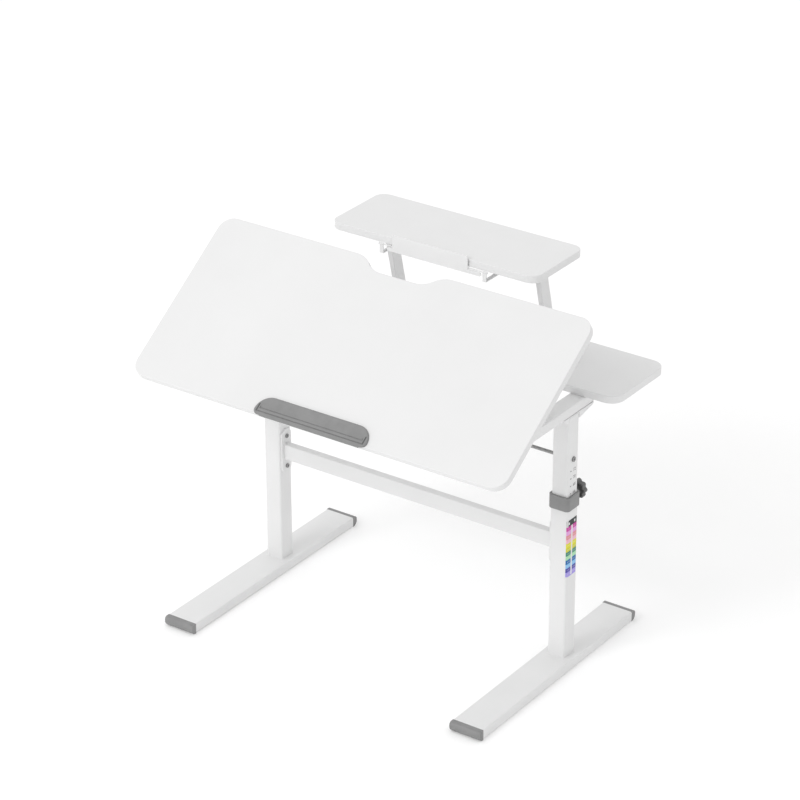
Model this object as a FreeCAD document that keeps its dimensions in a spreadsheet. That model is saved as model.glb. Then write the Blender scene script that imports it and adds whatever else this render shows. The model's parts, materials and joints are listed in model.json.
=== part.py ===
import FreeCAD, Part
import math
import os
import Sketcher

# A height-adjustable drawing desk: T-shaped feet and telescopic posts carry two arms, a fixed
# rear shelf with a riser, and a tabletop that tilts about the front ends of the arms.
# Axes: +X to the user's right, +Y to the back, +Z up; origin on the floor under the middle.

Vector = FreeCAD.Vector
doc = FreeCAD.newDocument("drawing_desk")

# ---------------------------------------------------------------------------- driving sizes (mm)
DIMENSIONS = {
    # boards
    "board_width": (1000, "tabletop and rear shelf width"),
    "board_thick": (18, "all three boards"),
    "board_edge": (1.5, "rounding of the board edges"),
    "top_depth": (441.6, "tabletop, front edge to rear edge"),
    "top_front": (40.7, "tabletop overhang in front of the hinge axis"),
    "top_lift": (12.5, "hinge axis to the tabletop's underside"),
    "top_corner": (36, "tabletop corner radius"),
    "notch_half": (105.5, "half width of the rear notch at the edge"),
    "notch_inner": (68.5, "half width of the rear notch at its bottom"),
    "notch_deep": (32.3, "depth of the rear notch"),
    "notch_round": (60, "roundings of the notch flanks"),
    "shelf_depth": (216, "rear shelf depth"),
    "shelf_corner": (34, "rear shelf corner radius"),
    "shelf_bottom": (660, "underside of the rear shelf"),
    "shelf_y": (230.7, "middle of the rear shelf"),
    "riser_width": (558, "riser board width"),
    "riser_depth": (202.5, "riser board depth"),
    "riser_corner": (27, "riser board corner radius"),
    "riser_bottom": (889, "underside of the riser board"),
    "riser_y": (234.9, "middle of the riser board"),
    # hinge and tilt
    "hinge_y": (-280.8, "tilt axis"),
    "hinge_z": (648, "tilt axis"),
    "tilt": (34.9, "tabletop angle as posed, degrees"),
    "stay_pitch": (150, "stay length and its pivot's distance from the tilt axis"),
    # feet
    "side_x": (400, "middle plane of each leg assembly"),
    "foot_wide": (80, "foot tube width"),
    "foot_high": (25, "foot tube height"),
    "foot_long": (621.8, "foot tube length"),
    "foot_y": (11.9, "middle of the foot tube"),
    "foot_wall": (1.5, "foot tube wall"),
    "cap_long": (15.5, "end cap in front of the tube"),
    # posts
    "post_y": (78.3, "post axis"),
    "post_outer": (45, "outer post side"),
    "post_bore": (42.6, "outer post inside"),
    "post_inner": (41.6, "inner post side"),
    "inner_bore": (38.6, "inner post inside"),
    "post_top": (434, "upper end of the outer post"),
    "inner_foot": (230, "lower end of the inner post"),
    "collar_side": (54, "collar outside"),
    "collar_z": (404, "lower face of the collar"),
    "collar_high": (34, "collar height"),
    "clamp_z": (425, "clamp screw axis"),
    # crossbar
    "bar_high": (40, "crossbar height"),
    "bar_deep": (20, "crossbar depth"),
    "bar_z": (312, "crossbar axis"),
    "plate_thick": (4, "crossbar end plate"),
    "plate_wide": (36, "crossbar end plate"),
    "plate_high": (116, "crossbar end plate"),
    "plate_bolt": (39.5, "end plate bolts above and below the crossbar axis"),
    # arms
    "arm_wide": (40, "arm tube width"),
    "arm_high": (24, "arm tube height"),
    "arm_wall": (1.6, "arm tube wall"),
    "arm_front": (-269.3, "front end of the arm tube"),
    "arm_rear": (299.2, "rear end of the arm tube"),
    "nose_round": (11.5, "round nose about the tilt axis"),
    "rod_z": (526.5, "tie rod axis"),
    "rod_round": (4, "tie rod radius"),
    # riser legs
    "leg_x": (206, "middle plane of the riser leg"),
    "leg_wide": (14, "riser leg across"),
    "leg_deep": (33.6, "riser leg front to back"),
    "leg_top_y": (243.4, "front of the riser leg at its top"),
    "leg_lean": (51.6, "forward lean of the riser leg over its height"),
    # book lip
    "lip_y": (133.0, "lip hinge axis"),
    "lip_z": (886.2, "lip hinge axis"),
    "lip_half": (102.3, "half width of the raised lip"),
    "strip_half": (127.8, "half width of the lower strip"),
    "strip_shift": (10.2, "middle of the strip, towards the right"),
    "lip_thick": (2, "lip plate"),
    "lip_rod": (1.6, "radius of the lip's hinge rod"),
    "eye_gap": (139.5, "half distance between the lip brackets"),
    "eye_shift": (5.5, "middle between the lip brackets, towards the right"),
    # ledge
    "ledge_half": (151, "half width of the pencil ledge"),
    "ledge_proud": (5.5, "ledge in front of the tabletop edge"),
    "ledge_deep": (45, "ledge on top of the tabletop"),
    "ledge_rise": (5, "ledge above the tabletop"),
    # knob
    "knob_round": (25, "star knob radius"),
    "knob_thick": (14, "star knob thickness"),
    "stud_round": (4, "clamp screw radius"),
    "pin_round": (4, "tilt hinge pin radius"),
    "stay_pin": (3, "stay pin radius"),
}

SIDES = (("left", -1), ("right", 1))
sheet = doc.addObject("Spreadsheet::Sheet", "Sizes")
for row, (alias, (number, note)) in enumerate(DIMENSIONS.items(), start=1):
    sheet.set(f"A{row}", note)
    sheet.set(f"B{row}", str(number))
    sheet.setAlias(f"B{row}", alias)
doc.recompute()


# ------------------------------------------------------------------------------ sizes as formulas
class Size:
    """A number that remembers the sheet formula it comes from."""

    def __init__(self, number, formula=None):
        self.number = number
        self.formula = formula or f"({number})"

    def __add__(self, other):
        other = as_size(other)
        return Size(self.number + other.number, f"({self.formula} + {other.formula})")

    def __sub__(self, other):
        other = as_size(other)
        return Size(self.number - other.number, f"({self.formula} - {other.formula})")

    def __mul__(self, other):
        other = as_size(other)
        return Size(self.number * other.number, f"({self.formula} * {other.formula})")

    def __truediv__(self, other):
        other = as_size(other)
        return Size(self.number / other.number, f"({self.formula} / {other.formula})")

    def __neg__(self):
        return self * -1

    __radd__ = __add__
    __rmul__ = __mul__

    def __rsub__(self, other):
        return as_size(other) - self


def as_size(item):
    return item if isinstance(item, Size) else Size(item)


def cell(alias):
    """The named dimension of the sheet."""
    return Size(DIMENSIONS[alias][0], f"<<Sizes>>.{alias}")


def cosine(angle):
    return Size(math.cos(math.radians(angle.number)), f"cos({angle.formula} * 1 deg)")


def sine(angle):
    return Size(math.sin(math.radians(angle.number)), f"sin({angle.formula} * 1 deg)")


def bind(item, **sizes):
    """Bind properties of a document object to sheet formulas."""
    for prop, size in sizes.items():
        size = as_size(size)
        setattr(item, prop, size.number)
        item.setExpression(prop, size.formula)


def put(item, x=0, y=0, z=0, axis=None, turn=0):
    """Place an object; the position, and the turn about axis, stay bound to the sheet."""
    spot = [as_size(value) for value in (x, y, z)]
    turn = as_size(turn)
    rotation = FreeCAD.Rotation(axis or Vector(0, 0, 1), turn.number)
    item.Placement = FreeCAD.Placement(Vector(*[value.number for value in spot]), rotation)
    for letter, value in zip("xyz", spot):
        item.setExpression(f"Placement.Base.{letter}", value.formula)
    if axis:
        item.setExpression("Placement.Rotation.Angle", f"{turn.formula} * 1 deg")
    return item


# --------------------------------------------------------------------------------- sketch drawing
def pin_point(sketch, geometry, vertex, x, y):
    """Hold a sketch point at two bound coordinates."""
    for kind, size, axis in (("DistanceX", as_size(x), -2), ("DistanceY", as_size(y), -1)):
        if abs(size.number) < 1e-9:
            sketch.addConstraint(Sketcher.Constraint("PointOnObject", geometry, vertex, axis))
            continue
        index = sketch.addConstraint(Sketcher.Constraint(kind, -1, 1, geometry, vertex, size.number))
        sketch.setExpression(f"Constraints[{index}]", size.formula)


def polygon(*points):
    """A closed outline through the points."""
    def draw(sketch):
        spots = [(as_size(x), as_size(y)) for x, y in points]
        first = sketch.GeometryCount
        count = len(spots)
        for here, there in zip(spots, spots[1:] + spots[:1]):
            start = Vector(here[0].number, here[1].number, 0)
            end = Vector(there[0].number, there[1].number, 0)
            sketch.addGeometry(Part.LineSegment(start, end), False)
        for i in range(count):
            joint = Sketcher.Constraint("Coincident", first + i, 2, first + (i + 1) % count, 1)
            sketch.addConstraint(joint)
        for i, (x, y) in enumerate(spots):
            pin_point(sketch, first + i, 1, x, y)
    return draw


def rectangle(wide, high, x=0, y=0):
    """A rectangle about its middle point."""
    wide, high, x, y = (as_size(item) for item in (wide, high, x, y))
    corners = ((-0.5, -0.5), (0.5, -0.5), (0.5, 0.5), (-0.5, 0.5))
    return polygon(*[(x + wide * i, y + high * j) for i, j in corners])


def disc(radius, x=0, y=0):
    """A circle with a bound radius and middle."""
    def draw(sketch):
        spot = Vector(as_size(x).number, as_size(y).number, 0)
        size = as_size(radius)
        index = sketch.addGeometry(Part.Circle(spot, Vector(0, 0, 1), size.number), False)
        pin_point(sketch, index, 3, x, y)
        rule = sketch.addConstraint(Sketcher.Constraint("Radius", index, size.number))
        sketch.setExpression(f"Constraints[{rule}]", size.formula)
    return draw


# ------------------------------------------------------------------------------- part design body
class Piece:
    """One PartDesign body; its sketches lie on the body's own origin planes."""

    def __init__(self, name, own_node=True):
        self.body = doc.addObject("PartDesign::Body", name)
        self.body.Label = name
        if own_node:
            pieces[name] = self.body

    def sketch(self, plane, shapes, level=0):
        planes = self.body.Origin.OriginFeatures
        support = [item for item in planes if item.Role == plane][0]
        sketch = self.body.newObject("Sketcher::SketchObject", "Outline")
        sketch.AttachmentSupport = (support, [""])
        sketch.MapMode = "FlatFace"
        level = as_size(level)
        sketch.AttachmentOffset = FreeCAD.Placement(Vector(0, 0, level.number), FreeCAD.Rotation())
        sketch.setExpression("AttachmentOffset.Base.z", level.formula)
        for shape in shapes:
            shape(sketch)
        return sketch

    def grow(self, plane, shapes, length, level=0, both=False, back=False):
        """Pad an outline, one way or evenly to both sides of its plane."""
        return self.feature("PartDesign::Pad", plane, shapes, length, level, both, back)

    def cut(self, plane, shapes, length, level=0, both=False, back=False):
        """Pocket an outline and confirm that it takes material away."""
        doc.recompute()
        before = self.body.Shape.Volume
        feature = self.feature("PartDesign::Pocket", plane, shapes, length, level, both, back)
        doc.recompute()
        if self.body.Shape.Volume > before - 0.01:
            raise ValueError(f"{self.body.Label}: a pocket cuts nothing")
        return feature

    def feature(self, kind, plane, shapes, length, level, both, back):
        profile = self.sketch(plane, shapes, level)
        feature = self.body.newObject(kind, "Feature")
        feature.Profile = profile
        feature.SideType = "Symmetric" if both else "One side"
        feature.Reversed = back
        bind(feature, Length=length)
        profile.Visibility = False
        return feature

    def round(self, radius, wanted):
        """Fillet the edges that wanted picks by their middle point and direction."""
        doc.recompute()
        names = []
        for index, edge in enumerate(self.body.Shape.Edges, start=1):
            middle = edge.valueAt((edge.FirstParameter + edge.LastParameter) / 2)
            if wanted(edge, middle):
                names.append(f"Edge{index}")
        if not names:
            raise ValueError(f"{self.body.Label}: no edge to round")
        base = self.body.Tip
        feature = self.body.newObject("PartDesign::Fillet", "Rounding")
        feature.Base = (base, names)
        bind(feature, Radius=radius)
        doc.recompute()
        if "Invalid" in feature.State or not self.body.Shape.isValid():
            raise ValueError(f"{self.body.Label}: the rounding of {len(names)} edges fails")

    def place(self, **where):
        put(self.body, **where)
        return self


def along(letter):
    """Edges that run straight along one axis."""
    def wanted(edge, middle):
        if edge.Curve.TypeId != "Part::GeomLine":
            return False
        ends = edge.Vertexes[-1].Point - edge.Vertexes[0].Point
        return abs(getattr(ends, letter)) > 0.999 * edge.Length
    return wanted


def level_with(*heights):
    """Edges that lie wholly at one of the given heights."""
    numbers = [as_size(item).number for item in heights]

    def wanted(edge, middle):
        levels = [point.Point.z for point in edge.Vertexes] + [middle.z]
        return any(all(abs(z - number) < 1e-3 for z in levels) for number in numbers)
    return wanted


def both_of(*tests):
    return lambda edge, middle: all(test(edge, middle) for test in tests)


def inside_box(limit_x, limit_y):
    """Edges whose middle is nearer the axis than the given half sizes."""
    return lambda edge, middle: abs(middle.x) < limit_x and abs(middle.y) < limit_y


def near_corner(side):
    """Edges at the corner that lies at +x and -y."""
    return lambda edge, middle: abs(middle.x - side) < 0.01 and abs(middle.y + side) < 0.01


def outside_box(limit_x, limit_y):
    return lambda edge, middle: abs(middle.x) > limit_x and abs(middle.y) > limit_y


pieces = {}
tilt = cell("tilt")
hinge_y = cell("hinge_y")
hinge_z = cell("hinge_z")
X_AXIS = Vector(1, 0, 0)


# ----------------------------------------------------------------------------- turned small parts
def turned(name, *steps):
    """Coaxial cylinders along +Z, each (radius, start, end), joined into one shape."""
    parts = []
    for radius, start, end in steps:
        part = doc.addObject("Part::Cylinder", f"{name}_step")
        bind(part, Radius=radius, Height=as_size(end) - start)
        put(part, z=start)
        parts.append(part)
    if len(parts) == 1:
        single = doc.addObject("Part::Compound", name)
        single.Links = parts
        return single
    joined = doc.addObject("Part::MultiFuse", name)
    joined.Shapes = parts
    return joined


def bored(name, solid, radius, start, end):
    """The solid with a round hole along its axis."""
    hole = doc.addObject("Part::Cylinder", f"{name}_hole")
    bind(hole, Radius=radius, Height=as_size(end) - start)
    put(hole, z=start)
    result = doc.addObject("Part::Cut", name)
    result.Base = solid
    result.Tool = hole
    return result


def socket_screw(name, head_radius, head_high, shank_radius, shank_long):
    """A screw whose head stands above z = 0 with a hexagon socket, its shank below."""
    solid = turned(f"{name}_blank", (head_radius, 0, head_high), (shank_radius, -shank_long, 0))
    socket = doc.addObject("Part::Prism", f"{name}_socket")
    socket.Polygon = 6
    socket.Circumradius = shank_radius * 0.75
    socket.Height = head_high
    put(socket, z=head_high * 0.4)
    result = doc.addObject("Part::Cut", name)
    result.Base = solid
    result.Tool = socket
    return result


def group(name, members):
    """Identical small parts that share one node."""
    node = doc.addObject("Part::Compound", name)
    node.Label = name
    node.Links = members
    pieces[name] = node


DOWN = (X_AXIS, 180)                    # a screw driven upwards, its head underneath
OUTWARD = {-1: (Vector(0, 1, 0), 90), 1: (Vector(0, 1, 0), -90)}   # driven outwards from inside
INWARD = {-1: (Vector(0, 1, 0), -90), 1: (Vector(0, 1, 0), 90)}    # driven inwards from outside


# ------------------------------------------------------------------------------------------- feet
foot_bolt_gap = 13
side_x = cell("side_x")
post_y = cell("post_y")
foot_y = cell("foot_y")
foot_high = cell("foot_high")
foot_wide = cell("foot_wide")
foot_long = cell("foot_long")


def make_foot(side, sign):
    wall = cell("foot_wall")
    foot = Piece(f"{side}_foot")
    middle = foot_high / 2
    walls = [rectangle(foot_wide, foot_high, y=middle),
             rectangle(foot_wide - wall * 2, foot_high - wall * 2, y=middle)]
    foot.grow("XZ_Plane", walls, foot_long, both=True)
    foot.round(3, both_of(along("y"), lambda edge, spot: abs(spot.x) > 39))
    bolt_y = [post_y - foot_y + shift for shift in (-foot_bolt_gap, foot_bolt_gap)]
    foot.cut("XY_Plane", [disc(8, y=y) for y in bolt_y], wall + 0.1, back=True)
    foot.cut("XY_Plane", [disc(3.3, y=y) for y in bolt_y], wall + 0.1, level=foot_high)
    foot.place(x=side_x * sign, y=foot_y)


def make_foot_cap(side, sign, end, way):
    """A moulded nose with a spigot that plugs the foot tube."""
    cap = Piece(f"{side}_{end}_foot_cap")
    long = cell("cap_long")
    cap.grow("YZ_Plane", [rectangle(long, foot_high, long / 2, foot_high / 2)], foot_wide, both=True)
    nose = DIMENSIONS["cap_long"][0]
    top = DIMENSIONS["foot_high"][0]
    cap.round(8, lambda edge, spot: abs(spot.y - nose) < 0.01 and abs(spot.z - top) < 0.01)
    cap.round(13.5, lambda edge, spot: abs(spot.y - nose) < 0.01 and abs(spot.z) < 0.01)
    wall = cell("foot_wall")
    spigot = rectangle(foot_wide - wall * 2 - 0.4, foot_high - wall * 2 - 0.4, y=foot_high / 2)
    cap.grow("XZ_Plane", [spigot], 16)
    cap.place(x=side_x * sign, y=foot_y + foot_long * way / 2, axis=Vector(0, 0, 1),
              turn=0 if way > 0 else 180)


for side, sign in SIDES:
    make_foot(side, sign)
    for end, way in (("front", -1), ("rear", 1)):
        make_foot_cap(side, sign, end, way)


# ------------------------------------------------------------------------------------ outer posts
bar_z = cell("bar_z")
plate_bolt = cell("plate_bolt")
post_outer = cell("post_outer")
post_bore = cell("post_bore")
post_inner = cell("post_inner")
inner_bore = cell("inner_bore")
nut_barrel = 4.5


def make_outer_post(side, sign):
    post = Piece(f"{side}_outer_post")
    high = cell("post_top") - foot_high
    post.grow("XY_Plane", [rectangle(post_outer, post_outer), rectangle(post_bore, post_bore)], high)
    post.round(3.8, both_of(along("z"), inside_box(21.5, 21.5)))
    post.round(5, both_of(along("z"), outside_box(22, 22)))
    wall = post_outer / 2 - post_bore / 2
    bolts = [disc(nut_barrel + 0.05, 0, bar_z - foot_high + plate_bolt * way) for way in (-1, 1)]
    inner_face = post_outer * (-sign) / 2
    post.cut("YZ_Plane", bolts, wall + 1, level=inner_face, back=sign > 0)
    clamp = disc(6.05, 0, cell("clamp_z") - foot_high)
    post.cut("XZ_Plane", [clamp], wall + 1, level=-post_outer / 2, back=True)
    post.place(x=side_x * sign, y=post_y, z=foot_high)


def make_post_base(side, sign):
    """A thick plate inside the foot of the post that takes the two foot bolts."""
    base = Piece(f"{side}_post_base_plate", own_node=False)
    base.grow("XY_Plane", [rectangle(post_bore - 0.2, post_bore - 0.2)], 8)
    base.round(3.8, both_of(along("z"), outside_box(20, 20)))
    holes = [disc(3.05, 0, shift) for shift in (-foot_bolt_gap, foot_bolt_gap)]
    base.cut("XY_Plane", holes, 8, back=True)
    base.place(x=side_x * sign, y=post_y, z=foot_high)
    return base.body


foot_bolts = []
post_bases = []
for side, sign in SIDES:
    make_outer_post(side, sign)
    post_bases.append(make_post_base(side, sign))
    for shift in (-foot_bolt_gap, foot_bolt_gap):
        bolt = socket_screw(f"{side}_foot_bolt", 5.25, 3.3, 3, 12)
        put(bolt, side_x * sign, post_y + shift, foot_high - cell("foot_wall"), *DOWN)
        foot_bolts.append(bolt)
group("foot_bolts", foot_bolts)
group("post_base_plates", post_bases)


# ------------------------------------------------------------------------- collars, clamps, knobs
clamp_z = cell("clamp_z")
collar_side = cell("collar_side")
collar_high = cell("collar_high")
collar_z = cell("collar_z")
stud_round = cell("stud_round")
knob_start = 45
hub_long = 12


def make_collar(side, sign):
    collar = Piece(f"{side}_collar")
    collar.grow("XY_Plane", [rectangle(collar_side, collar_side)], collar_high)
    collar.round(10, both_of(along("z"), outside_box(25, 25)))
    collar.round(0.8, level_with(0, collar_high))
    seat = rectangle(post_outer + 0.2, post_outer + 0.2)
    collar.cut("XY_Plane", [seat], cell("post_top") - collar_z + 0.1, back=True)
    collar.round(4, both_of(along("z"), both_of(inside_box(23, 23), outside_box(22, 22))))
    collar.cut("XY_Plane", [rectangle(post_inner + 0.8, post_inner + 0.8)], collar_high, back=True)
    collar.round(4.2, both_of(along("z"), both_of(inside_box(21.5, 21.5), outside_box(20, 20))))
    hole = disc(6.05, 0, clamp_z - collar_z)
    collar.cut("XZ_Plane", [hole], 10, level=-collar_side / 2, back=True)
    collar.place(x=side_x * sign, y=post_y, z=collar_z)


def make_clamp_nut(side, sign):
    """A flanged threaded bush pressed through the collar and the rear wall of the post."""
    reach = collar_side / 2
    solid = turned(f"{side}_nut_blank", (6, post_bore / 2 + 0.2, reach), (9, reach, reach + 2))
    nut = bored(f"{side}_clamp_nut", solid, stud_round + 0.06, post_bore / 2, reach + 3)
    return put(nut, side_x * sign, post_y, clamp_z, X_AXIS, -90)


def make_knob(side, sign):
    """A six-lobed hand knob on a round hub."""
    knob = Piece(f"{side}_clamp_knob")
    radius = cell("knob_round")
    thick = cell("knob_thick")
    knob.grow("XY_Plane", [disc(radius)], thick)
    knob.cut("XY_Plane", [disc(radius * 0.3, radius * 1.12, 0)], thick, back=True)
    scallop = knob.body.Tip
    pattern = knob.body.newObject("PartDesign::PolarPattern", "Scallops")
    pattern.Originals = [scallop]
    pattern.Axis = (scallop.Profile[0], ["N_Axis"])
    pattern.Angle = 360
    pattern.Occurrences = 6
    knob.body.Tip = pattern
    knob.round(1.5, level_with(0, thick))
    knob.grow("XY_Plane", [disc(9)], hub_long, back=True)
    knob.cut("XY_Plane", [disc(stud_round)], hub_long + 10, level=-hub_long, back=True)
    knob.place(x=side_x * sign, y=post_y + knob_start, z=clamp_z, axis=X_AXIS, turn=-90)


clamp_nuts = []
for side, sign in SIDES:
    make_collar(side, sign)
    clamp_nuts.append(make_clamp_nut(side, sign))
    make_knob(side, sign)
    stud = turned(f"{side}_clamp_stud", (stud_round, post_inner / 2 + 0.4, knob_start + 9))
    stud.Label = f"{side}_clamp_stud"
    pieces[stud.Label] = put(stud, side_x * sign, post_y, clamp_z, X_AXIS, -90)
group("clamp_nuts", clamp_nuts)


# --------------------------------------------------------------------------------------- crossbar
plate_thick = cell("plate_thick")
bar_end = side_x - post_outer / 2 - plate_thick


def make_crossbar():
    bar = Piece("crossbar")
    deep = cell("bar_deep")
    high = cell("bar_high")
    bar.grow("YZ_Plane", [rectangle(deep, high), rectangle(deep - 3, high - 3)], bar_end * 2, both=True)
    bar.round(3, both_of(along("x"), lambda edge, spot: abs(spot.y) > 9.9))
    bar.place(y=post_y, z=bar_z)


def make_crossbar_plate(side, sign):
    plate = Piece(f"{side}_crossbar_plate")
    wide = cell("plate_wide")
    high = cell("plate_high")
    plate.grow("YZ_Plane", [rectangle(wide, high)], plate_thick, both=True)
    plate.round(wide / 2 - 0.2, both_of(along("x"), lambda edge, spot: abs(spot.y) > 17))
    holes = [disc(3.3, 0, plate_bolt * way) for way in (-1, 1)]
    plate.cut("YZ_Plane", holes, plate_thick * 2, both=True)
    plate.round(0.8, lambda edge, spot: abs(spot.x + sign * plate_thick.number / 2) < 0.01
                and math.hypot(spot.y, abs(spot.z) - plate_bolt.number) > 4)
    plate.place(x=(bar_end + plate_thick / 2) * sign, y=post_y, z=bar_z)


make_crossbar()
crossbar_bolts = []
crossbar_nuts = []
for side, sign in SIDES:
    make_crossbar_plate(side, sign)
    for way in (-1, 1):
        height = bar_z + plate_bolt * way
        bolt = socket_screw(f"{side}_crossbar_bolt", 5.25, 3.3, 3, 15)
        crossbar_bolts.append(put(bolt, bar_end * sign, post_y, height, *OUTWARD[sign]))
        barrel = turned(f"{side}_nut_barrel", (nut_barrel, -14, -4))
        nut = bored(f"{side}_rivet_nut", barrel, 3.05, -15, 0)
        crossbar_nuts.append(put(nut, bar_end * sign, post_y, height, *OUTWARD[sign]))
group("crossbar_bolts", crossbar_bolts)
group("crossbar_rivet_nuts", crossbar_nuts)


def make_chart_label():
    """A growth chart sticker on the right post's outer face that wraps round its front corner."""
    label = Piece("growth_chart_label")
    film = 0.3
    half = post_outer / 2
    inset = half - 6
    outline = polygon((half, inset), (half + film, inset), (half + film, -half - film),
                      (inset, -half - film), (inset, -half), (half, -half))
    label.grow("XY_Plane", [outline], 145, both=True)
    corner = half.number
    label.round(4.9, both_of(along("z"), near_corner(corner)))
    label.round(5.3, both_of(along("z"), near_corner(corner + film)))
    label.cut("XY_Plane", [rectangle(20, 4, 20, -24)], 160, both=True)
    label.place(x=side_x, y=post_y, z=306.5)


make_chart_label()


# ------------------------------------------------------------------------------------ inner posts
saddle_top = hinge_z - cell("arm_high") / 2
saddle_thick = 2
inner_foot = cell("inner_foot")
slot_wide = 12
slot_reach = bar_z + plate_bolt + nut_barrel + 78


def make_inner_post(side, sign):
    post = Piece(f"{side}_inner_post")
    high = saddle_top - saddle_thick - inner_foot
    walls = [rectangle(post_inner, post_inner), rectangle(inner_bore, inner_bore)]
    post.grow("XY_Plane", walls, high)
    post.round(4, both_of(along("z"), outside_box(20.5, 20.5)))
    post.round(2.5, both_of(along("z"), inside_box(19.5, 19.5)))
    slot_long = slot_reach - inner_foot
    slot = rectangle(slot_wide, slot_long + 1, 0, slot_long / 2 - 0.5)
    post.cut("YZ_Plane", [slot], 4, level=post_inner * (-sign) / 2 + sign, both=True)
    rod_hole = disc(3.05, 0, cell("rod_z") - inner_foot)
    post.cut("YZ_Plane", [rod_hole], post_inner + 2, both=True)
    post.place(x=side_x * sign, y=post_y, z=inner_foot)


def make_post_glide(side, sign):
    """A plastic plug that centres the inner post in the outer one."""
    glide = Piece(f"{side}_post_glide", own_node=False)
    glide.grow("XY_Plane", [rectangle(post_bore - 0.6, post_bore - 0.6)], 8, back=True)
    glide.round(4, both_of(along("z"), outside_box(20, 20)))
    glide.grow("XY_Plane", [rectangle(inner_bore - 0.2, inner_bore - 0.2)], 20)
    glide.round(4, both_of(along("z"), inside_box(19.5, 19.5)))
    passage = rectangle(24, 16, post_bore * (-sign) / 2, 0)
    glide.cut("XY_Plane", [passage], 60, both=True)
    glide.place(x=side_x * sign, y=post_y, z=inner_foot)
    return glide.body


rod_z = cell("rod_z")
rod_end = side_x - post_inner / 2
tie_bolts = []
post_glides = []
for side, sign in SIDES:
    make_inner_post(side, sign)
    post_glides.append(make_post_glide(side, sign))
    bolt = socket_screw(f"{side}_tie_bolt", 6.2, 3, 3, 41.6)
    tie_bolts.append(put(bolt, (side_x + post_inner / 2) * sign, post_y, rod_z, *INWARD[sign]))
group("tie_rod_bolts", tie_bolts)
group("post_glides", post_glides)
rod = turned("tie_rod", (cell("rod_round"), -rod_end, rod_end))
rod.Label = "tie_rod"
pieces["tie_rod"] = put(rod, 0, post_y, rod_z, Vector(0, 1, 0), 90)


# --------------------------------------------------------------------------------- saddles, arms
saddle_front = -41
saddle_rear = 80.4
saddle_bolts_y = (-30.5, 48)
shelf_screws_y = (66, 190)
arm_wide = cell("arm_wide")
arm_high = cell("arm_high")
arm_wall = cell("arm_wall")
stay_pitch = cell("stay_pitch")
stay_pin = cell("stay_pin")


def make_saddle(side, sign):
    """A plate on the post head with tapered side gussets in front of and behind the post."""
    saddle = Piece(f"{side}_saddle")
    long = saddle_rear - saddle_front
    middle = (saddle_rear + saddle_front) / 2
    saddle.grow("XY_Plane", [rectangle(post_inner, long, 0, middle)], saddle_thick)
    face = post_inner / 2 + 0.05
    rear = polygon((face, 0), (face, -13.5), (face + 4, -13.5), (saddle_rear - 2, -2.5),
                   (saddle_rear, 0))
    front = polygon((-face, 0), (saddle_front, 0), (saddle_front + 2, -4), (-face - 3, -12),
                    (-face, -12))
    saddle.grow("YZ_Plane", [rear, front], post_inner, both=True)
    hollow = rectangle(long + 10, 40, middle, -20)
    saddle.cut("YZ_Plane", [hollow], post_inner - 4, both=True)
    holes = [disc(3.3, 0, y) for y in saddle_bolts_y]
    holes.append(disc(4.8, 0, shelf_screws_y[0]))
    saddle.cut("XY_Plane", holes, saddle_thick, back=True)
    saddle.place(x=side_x * sign, y=post_y, z=saddle_top - saddle_thick)


def make_arm(side, sign):
    arm = Piece(f"{side}_arm")
    long = cell("arm_rear") - cell("arm_front")
    walls = [rectangle(arm_wide, arm_high),
             rectangle(arm_wide - arm_wall * 2, arm_high - arm_wall * 2)]
    arm.grow("XZ_Plane", walls, long, back=True)
    arm.round(2.5, both_of(along("y"), lambda edge, spot: abs(spot.x) > 19.9))
    from_front = post_y - cell("arm_front")
    bolts = [disc(3.3, 0, from_front + y) for y in saddle_bolts_y]
    arm.cut("XY_Plane", bolts, arm_wall + 0.5, level=-arm_high / 2, back=True)
    screws = [disc(2.6, 0, from_front + y) for y in shelf_screws_y]
    arm.cut("XY_Plane", screws, arm_high + 2, both=True)
    reach = hinge_y - cell("arm_front")
    far = reach + stay_pitch * 2
    near = reach + stay_pitch * 2 * cosine(Size(40))
    slot = rectangle(far - near + 9, stay_pin * 2 + 0.8, (far + near) / 2, 0)
    arm.cut("YZ_Plane", [slot], 5, level=arm_wide * (-sign) / 2, both=True)
    arm.place(x=side_x * sign, y=cell("arm_front"), z=hinge_z)


def make_arm_nose(side, sign):
    """The rounded plug in the front end of the arm that carries the hinge pin."""
    nose = Piece(f"{side}_arm_nose")
    radius = cell("nose_round")
    face = cell("arm_front") - hinge_y
    nose.grow("YZ_Plane", [disc(radius)], arm_wide, both=True)
    nose.grow("YZ_Plane", [rectangle(face, radius * 2, face / 2, 0)], arm_wide, both=True)
    spigot = rectangle(arm_wide - arm_wall * 2 - 0.2, arm_high - arm_wall * 2 - 0.2)
    nose.grow("XZ_Plane", [spigot], 18, level=-face, back=True)
    nose.cut("YZ_Plane", [disc(cell("pin_round") + 0.06)], arm_wide + 2, both=True)
    nose.place(x=side_x * sign, y=hinge_y, z=hinge_z)


def make_arm_cap(side, sign):
    cap = Piece(f"{side}_arm_rear_cap", own_node=False)
    cap.grow("XZ_Plane", [rectangle(arm_wide, arm_high)], 3, back=True)
    cap.round(2.5, both_of(along("y"), outside_box(19, -1)))
    plug = rectangle(arm_wide - arm_wall * 2 - 0.2, arm_high - arm_wall * 2 - 0.2)
    cap.grow("XZ_Plane", [plug], 12)
    cap.place(x=side_x * sign, y=cell("arm_rear"), z=hinge_z)
    return cap.body


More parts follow.
